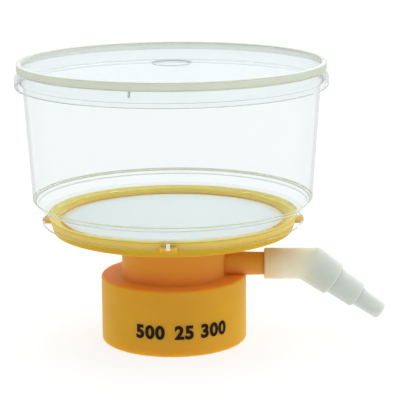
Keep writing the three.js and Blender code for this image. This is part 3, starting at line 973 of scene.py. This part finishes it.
def make_lid():
    lid = turned("lid_moulding", lid_outline())
    vents = [vent_rib(VENT_ANGLE + 360 / VENTS * k) for k in range(VENTS)]
    joined(lid, [*vents, flare_fin()])
    finish_piece(lid, "lid", "lid", CLEAR_LID, "lid", zones=lid_zones())


# ---- hose adapter -------------------------------------------------------------------------------

# the port's radius at the adapter's mouth
MOUTH_R = radius_at(MOUTH, (PORT_ROOT_R, PORT_ROOT), (PORT_TIP_R, PORT_TIP))
BARREL_R = MOUTH_R + FIT + ADAPTER_WALL
TILT = 1 / math.cos(BEND)  # the barrel's slanted section is taller by this factor
ALONG = Vector((1, 0, 0))
SLOPE = Vector((math.cos(BEND), 0, -math.sin(BEND)))
MOUTH_POINT = Vector((MOUTH, 0, PORT_Z))
BEND_POINT = Vector((MOUTH + BARREL, 0, PORT_Z))


def arm_outline():
    """Hose steps, as (reach along the arm, radius)."""
    first, second, third = STEP_ENDS
    return fillet([
        (0, 0),
        (0, BARREL_R * TILT),
        (first, BARREL_R * TILT - FIRST_TAPER, 1.0),
        (first, SECOND_STEP[0], 0.8),
        (second, SECOND_STEP[1], 0.9),
        (second, THIRD_STEP[0], 0.8),
        (third, THIRD_STEP[1], 1.1),
        (third, 0),
    ], 8)


def adapter_rings():
    """Sections of barrel and arm, as (centre, direction, half height, half width), and the index of
    the one at the bend. The arm starts on a plane square to itself, so its root is the barrel's oval
    section there."""
    rings = []
    edge_end, last = 4.0, BARREL - 6.0  # along the barrel
    for reach, radius in fillet([(0, 0), (0, BARREL_R, 0.7), (edge_end, BARREL_R), (edge_end, 0)], 8):
        if radius > 0.001:
            rings.append((MOUTH_POINT + ALONG * reach, ALONG, radius, radius))
    rings.append((MOUTH_POINT + ALONG * last, ALONG, BARREL_R, BARREL_R))
    mitre = len(rings)
    rings.append((BEND_POINT, SLOPE, BARREL_R * TILT, BARREL_R))
    for reach, radius in arm_outline()[2:-1]:
        narrow = BARREL_R * (TILT - 1) * max(0.0, 1 - reach / STEP_ENDS[0])
        rings.append((BEND_POINT + SLOPE * reach, SLOPE, radius, radius - narrow))
    return rings, mitre


def adapter_body():
    rings, mitre = adapter_rings()
    bm = bmesh.new()
    side = Vector((0, 1, 0))
    loops = []
    for centre, direction, tall, wide in rings:
        up = direction.cross(side)
        loop = []
        for k in range(TUBE_SIDES):
            a = TAU * k / TUBE_SIDES
            loop.append(bm.verts.new(centre + wide * math.cos(a) * side + tall * math.sin(a) * up))
        loops.append(loop)
    for a, b in zip(loops, loops[1:]):
        bridge(bm, a, b)
    bm.faces.new(loops[0][::-1])
    bm.faces.new(loops[-1])
    fold = set(loops[mitre])
    edges = [e for e in bm.edges if e.verts[0] in fold and e.verts[1] in fold]
    bmesh.ops.bevel(bm, geom=edges, offset=1.0, segments=4, affect="EDGES", profile=0.5)
    to_axis(bm)
    return new_object("hose_elbow", bm)


def adapter_bores():
    """Socket for the port, outlet through the arm, and the round knee between them."""
    bore = ADAPTER_BORE
    depth = PORT_TIP - MOUTH + SOCKET_END
    length = STEP_ENDS[-1] + 2.4  # past the arm's end
    socket_outline = fillet([
        (0, -CUT),
        (MOUTH_R + FIT + 0.03, -CUT),
        (PORT_TIP_R + FIT, depth, 0.3),
        (bore, depth + 1, 0.2),
        (bore, BARREL),
        (0, BARREL),
    ])
    knee_outline = [(bore * math.sin(a), -bore * math.cos(a)) for a in np.linspace(0, math.pi, 25)]
    return [
        laid("socket", socket_outline, MOUTH_POINT, ALONG),
        laid("outlet", [(0, 0), (bore, 0), (bore, length), (0, length)], BEND_POINT, SLOPE),
        laid("knee", knee_outline, BEND_POINT, ALONG),
    ]


def make_adapter():
    adapter = adapter_body()
    boolean(adapter, adapter_bores(), solver="MANIFOLD")
    finish_piece(adapter, "hose_adapter", "hose_adapter", MILKY, "hose_adapter", angle=50)
    # painted shade: the shoulders of the first two steps get a darker copy of the milky plastic, which tones
    # down the light they catch
    adapter.data.materials.append(SHOULDER_PAINTED_SHADE)
    bend = BEND_POINT + Vector((AXIS_X, 0, 0))
    for face in adapter.data.polygons:
        reach = (face.center / MM - bend).dot(SLOPE)
        if face.normal.dot(SLOPE) > 0.5 and reach < STEP_ENDS[1] + 1:
            face.material_index = 1


# ---- print --------------------------------------------------------------------------------------

PRINT_SIZE, PRINT_Z = 6.9, 9.3
PRINT_STRIP = 0.6  # the digits bend in strips of this width
INK_LIFT, INK_FILM = 0.01, 0.05


def flat_text(name, text, spacing):
    """Mesh of digits about 1 unit high, in the X-Y plane."""
    curve = bpy.data.curves.new(name, "FONT")
    curve.body = text
    curve.size = 1.0
    curve.offset = 0.045  # bolder strokes
    curve.align_x = "CENTER"
    curve.align_y = "CENTER"
    curve.space_character = spacing
    curve.resolution_u = 6
    flat = bpy.data.objects.new(name, curve)
    bpy.context.scene.collection.objects.link(flat)
    depsgraph = bpy.context.evaluated_depsgraph_get()
    mesh = bpy.data.meshes.new_from_object(flat.evaluated_get(depsgraph))
    bpy.data.objects.remove(flat)
    return mesh


def collar_print(name, text, azimuth, spacing):
    """Digits wrapped round the collar, as a thin film of ink."""
    bm = bmesh.new()
    bm.from_mesh(flat_text(name, text, spacing))
    bmesh.ops.remove_doubles(bm, verts=bm.verts, dist=1e-5)
    bmesh.ops.scale(bm, vec=(PRINT_SIZE, PRINT_SIZE, PRINT_SIZE), verts=bm.verts)
    xs = [v.co.x for v in bm.verts]
    x = min(xs) + PRINT_STRIP
    while x < max(xs):
        geom = bm.verts[:] + bm.edges[:] + bm.faces[:]
        bmesh.ops.bisect_plane(bm, geom=geom, plane_co=(x, 0, 0), plane_no=(1, 0, 0))
        x += PRINT_STRIP
    bmesh.ops.solidify(bm, geom=bm.faces[:], thickness=INK_FILM)
    for v in bm.verts:
        r = COLLAR_R + INK_LIFT + abs(v.co.z)
        a = math.radians(azimuth) + v.co.x / COLLAR_R
        v.co = (r * math.cos(a) + AXIS_X, r * math.sin(a), PRINT_Z + v.co.y)
    finish_piece(new_object(name, bm), "base", "base", INK)


# ---- build --------------------------------------------------------------------------------------

make_base()
make_support()
make_membrane()
make_gasket()
make_funnel()
make_lid()
make_adapter()
collar_print("print_volume", "500", FRONT - 17.0, 1.12)
collar_print("print_sizes", "25 300", FRONT + 24.0, 1.1)

# ---- floor, light and camera --------------------------------------------------------------------


def make_floor():
    half = 6000
    bm = bmesh.new()
    corners = [(-half, -half), (half, -half), (half, half), (-half, half)]
    bm.faces.new([bm.verts.new((x, y, 0)) for x, y in corners])
    floor = new_object("floor", bm)
    mat, _, _ = node_material("floor_paper", {
        "Base Color": (0.22, 0.22, 0.22, 1),
        "Roughness": 1.0,
        "Specular IOR Level": 0.0,
        "Emission Color": (1, 1, 1, 1),
        "Emission Strength": 0.80,
    })
    floor.data.materials.append(mat)
    floor.location.z = -0.0001  # just under what stands on it


def make_world():
    """Sky that is brightest towards the upper back and greyer opposite."""
    world = bpy.data.worlds.new("studio")
    bpy.context.scene.world = world
    world.use_nodes = True
    tree = world.node_tree
    back = tree.nodes["Background"]
    coords = tree.nodes.new("ShaderNodeTexCoord")
    facing = tree.nodes.new("ShaderNodeVectorMath")
    facing.operation = "DOT_PRODUCT"
    facing.inputs[1].default_value = (0.25, 0.70, 0.67)
    tree.links.new(coords.outputs["Generated"], facing.inputs[0])
    share = map_range(tree, facing.outputs["Value"], -1.0, 1.0)
    sky = colour_ramp(tree, share, [(0.0, (0.22, 0.24, 0.24)), (0.75, (1.0, 1.0, 1.0))])
    tree.links.new(sky, back.inputs["Color"])
    back.inputs["Strength"].default_value = 1.0


def area_light(name, location, size, power):
    """Rectangular light aimed at the unit's middle."""
    data = bpy.data.lights.new(name, "AREA")
    data.shape = "RECTANGLE"
    data.size, data.size_y = size
    data.energy = power
    lamp = bpy.data.objects.new(name, data)
    lamp.location = location
    aim = Vector((0, 0, 0.05)) - Vector(location)
    lamp.rotation_euler = aim.to_track_quat("-Z", "Y").to_euler()
    bpy.context.scene.collection.objects.link(lamp)


def make_camera():
    """Seen from in front and a little from above, with a long lens."""
    data = bpy.data.cameras.new("camera")
    data.sensor_width = 36.0
    data.lens = 145.3
    data.clip_start = 0.01
    data.clip_end = 50
    camera = bpy.data.objects.new("camera", data)
    place = Matrix.Translation((AXIS_X * MM + 0.0230, -0.5985, 0.1871))
    azimuth, pitch, roll = math.radians(91.22), math.radians(-12.56), math.radians(-0.42)
    level = Vector((math.cos(azimuth), math.sin(azimuth), 0))
    forward = level * math.cos(pitch) + Vector((0, 0, math.sin(pitch)))
    right = Vector((math.sin(azimuth), -math.cos(azimuth), 0))
    up = right.cross(forward)
    rolled_right = right * math.cos(roll) + up * math.sin(roll)
    rolled_up = up * math.cos(roll) - right * math.sin(roll)
    camera.matrix_world = place @ Matrix((rolled_right, rolled_up, -forward)).transposed().to_4x4()
    bpy.context.scene.collection.objects.link(camera)
    bpy.context.scene.camera = camera


make_floor()
make_world()
area_light("key", (0.9, -0.5, 1.0), (0.9, 0.9), 2.0)
area_light("top", (0.0, 0.1, 1.2), (0.8, 0.8), 4.0)
area_light("back", (0.4, 1.2, 0.9), (1.4, 1.0), 5.0)
make_camera()

bpy.context.scene.view_settings.view_transform = "Standard"
